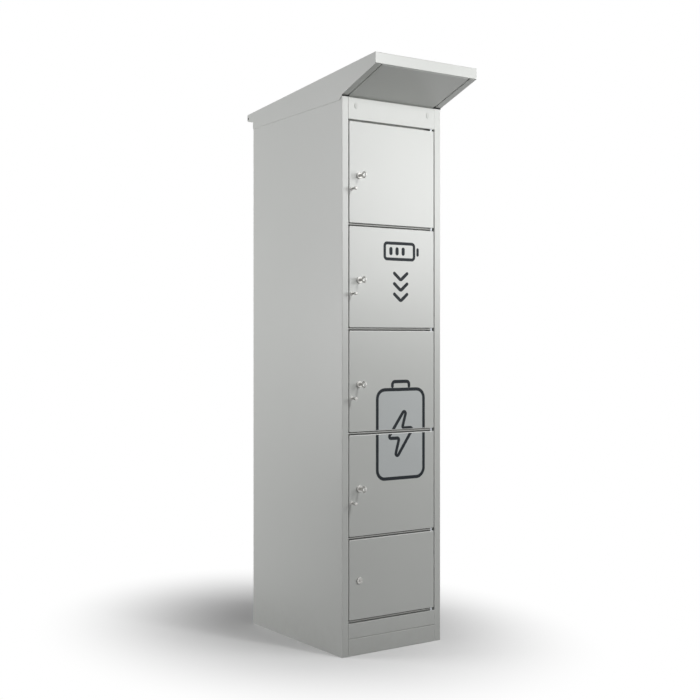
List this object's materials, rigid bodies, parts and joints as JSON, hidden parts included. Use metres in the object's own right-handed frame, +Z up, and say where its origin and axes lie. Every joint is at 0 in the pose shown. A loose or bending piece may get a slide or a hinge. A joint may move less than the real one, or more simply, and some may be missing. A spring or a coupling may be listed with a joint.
{
  "type": "battery charging locker",
  "caption": "Tall outdoor steel locker with stacked lockable charging bays, a technical bay, sockets inside and a sloped canopy roof.",
  "frame": {"origin": "centre of the overall box at the floor, where the locker stands", "axes": "+Z up, -Y out of the doors to the front, +X to the right of a person who faces the doors"},
  "size_m": [0.403, 0.783, 1.8858],
  "materials": {
    "grey_powder_coat": "fine-textured light grey powder coat",
    "door_powder_coat": "fine-textured light grey powder coat",
    "zinc_plate": "bright zinc plate",
    "nickel_plate": "nickel plate",
    "contact_brass": "plain brass",
    "black_rubber": "matt rubber",
    "black_sheath": "matt cable sheath",
    "grey_plastic": "moulded grey polyamide",
    "pale_plastic": "moulded plastic plugs in the colour of the coating",
    "white_plastic": "moulded white plastic",
    "black_plastic": "moulded black plastic",
    "yellow_plastic": "moulded yellow plastic"
  },
  "bodies": {
    "cabinet": {"left_side_panel": "grey_powder_coat", "right_side_panel": "grey_powder_coat", "back_panel": "grey_powder_coat", "top_panel": "grey_powder_coat", "floor_panel": "grey_powder_coat", "shelf_1": "grey_powder_coat", "shelf_2": "grey_powder_coat", "shelf_3": "grey_powder_coat", "shelf_4": "grey_powder_coat", "header_panel": "grey_powder_coat", "bottom_rail": "grey_powder_coat", "plinth_strip": "grey_powder_coat", "hinge_knuckles": "zinc_plate", "hinge_pins": "nickel_plate", "door_buffers": "black_rubber", "header_plugs": "pale_plastic", "roof_sheet": "grey_powder_coat", "soffit_panel": "grey_powder_coat", "roof_brackets": "zinc_plate", "roof_bolts": "zinc_plate", "wiring_duct": "grey_powder_coat", "socket_outlets": "white_plastic", "socket_contacts": "contact_brass", "power_leads": "black_sheath", "din_rail": "zinc_plate", "breaker": "white_plastic", "terminal_block": "grey_plastic", "gland_body": "grey_plastic", "gland_nuts": "grey_plastic", "gland_seal": "black_rubber"},
    "breaker_lever": {"breaker_lever": "black_plastic"},
    "test_button": {"breaker_test_button": "yellow_plastic"},
    "door_1": {"door_1": "door_powder_coat", "lock_case_1": "nickel_plate", "pull_knob_1": "nickel_plate"},
    "lock_1": {"lock_barrel_1": "nickel_plate", "lock_cam_1": "zinc_plate"},
    "key_1": {"key_1": "nickel_plate"},
    "door_2": {"door_2": "door_powder_coat", "lock_case_2": "nickel_plate", "pull_knob_2": "nickel_plate"},
    "lock_2": {"lock_barrel_2": "nickel_plate", "lock_cam_2": "zinc_plate"},
    "key_2": {"key_2": "nickel_plate"},
    "door_3": {"door_3": "door_powder_coat", "lock_case_3": "nickel_plate", "pull_knob_3": "nickel_plate"},
    "lock_3": {"lock_barrel_3": "nickel_plate", "lock_cam_3": "zinc_plate"},
    "key_3": {"key_3": "nickel_plate"},
    "door_4": {"door_4": "door_powder_coat", "lock_case_4": "nickel_plate", "pull_knob_4": "nickel_plate"},
    "lock_4": {"lock_barrel_4": "nickel_plate", "lock_cam_4": "zinc_plate"},
    "key_4": {"key_4": "nickel_plate"},
    "door_5": {"door_5": "door_powder_coat", "lock_case_5": "nickel_plate"},
    "lock_5": {"lock_barrel_5": "nickel_plate", "lock_cam_5": "zinc_plate"}
  },
  "joints": [
    {"name": "door_1_hinge", "type": "hinge", "parent": "cabinet", "child": "door_1", "pos_m": [0.163, -0.201, 1.544], "axis": [0, 0, 1], "range_deg": [0, 110]},
    {"name": "lock_1_turn", "type": "hinge", "parent": "door_1", "child": "lock_1", "pos_m": [-0.133, -0.1975, 1.534], "axis": [0, 1, 0], "range_deg": [0, 90]},
    {"name": "key_1_pull", "type": "slide", "parent": "lock_1", "child": "key_1", "axis": [0, -1, 0], "range_m": [0, 0.024]},
    {"name": "door_2_hinge", "type": "hinge", "parent": "cabinet", "child": "door_2", "pos_m": [0.163, -0.201, 1.21], "axis": [0, 0, 1], "range_deg": [0, 110]},
    {"name": "lock_2_turn", "type": "hinge", "parent": "door_2", "child": "lock_2", "pos_m": [-0.133, -0.1975, 1.2], "axis": [0, 1, 0], "range_deg": [0, 90]},
    {"name": "key_2_pull", "type": "slide", "parent": "lock_2", "child": "key_2", "axis": [0, -1, 0], "range_m": [0, 0.024]},
    {"name": "door_3_hinge", "type": "hinge", "parent": "cabinet", "child": "door_3", "pos_m": [0.163, -0.201, 0.876], "axis": [0, 0, 1], "range_deg": [0, 110]},
    {"name": "lock_3_turn", "type": "hinge", "parent": "door_3", "child": "lock_3", "pos_m": [-0.133, -0.1975, 0.866], "axis": [0, 1, 0], "range_deg": [0, 90]},
    {"name": "key_3_pull", "type": "slide", "parent": "lock_3", "child": "key_3", "axis": [0, -1, 0], "range_m": [0, 0.024]},
    {"name": "door_4_hinge", "type": "hinge", "parent": "cabinet", "child": "door_4", "pos_m": [0.163, -0.201, 0.542], "axis": [0, 0, 1], "range_deg": [0, 110]},
    {"name": "lock_4_turn", "type": "hinge", "parent": "door_4", "child": "lock_4", "pos_m": [-0.133, -0.1975, 0.532], "axis": [0, 1, 0], "range_deg": [0, 90]},
    {"name": "key_4_pull", "type": "slide", "parent": "lock_4", "child": "key_4", "axis": [0, -1, 0], "range_m": [0, 0.024]},
    {"name": "door_5_hinge", "type": "hinge", "parent": "cabinet", "child": "door_5", "pos_m": [0.163, -0.201, 0.242], "axis": [0, 0, 1], "range_deg": [0, 110]},
    {"name": "lock_5_turn", "type": "hinge", "parent": "door_5", "child": "lock_5", "pos_m": [-0.133, -0.1975, 0.238], "axis": [0, 1, 0], "range_deg": [0, 90]},
    {"name": "breaker_lever_throw", "type": "hinge", "parent": "cabinet", "child": "breaker_lever", "pos_m": [-0.049, 0.2912, 0.26296], "axis": [1, 0, 0], "range_deg": [0, 60]},
    {"name": "test_button_press", "type": "slide", "parent": "cabinet", "child": "test_button", "axis": [0, 1, 0], "range_m": [0, 0.0012], "stiffness_N_per_m": 150}
  ]
}
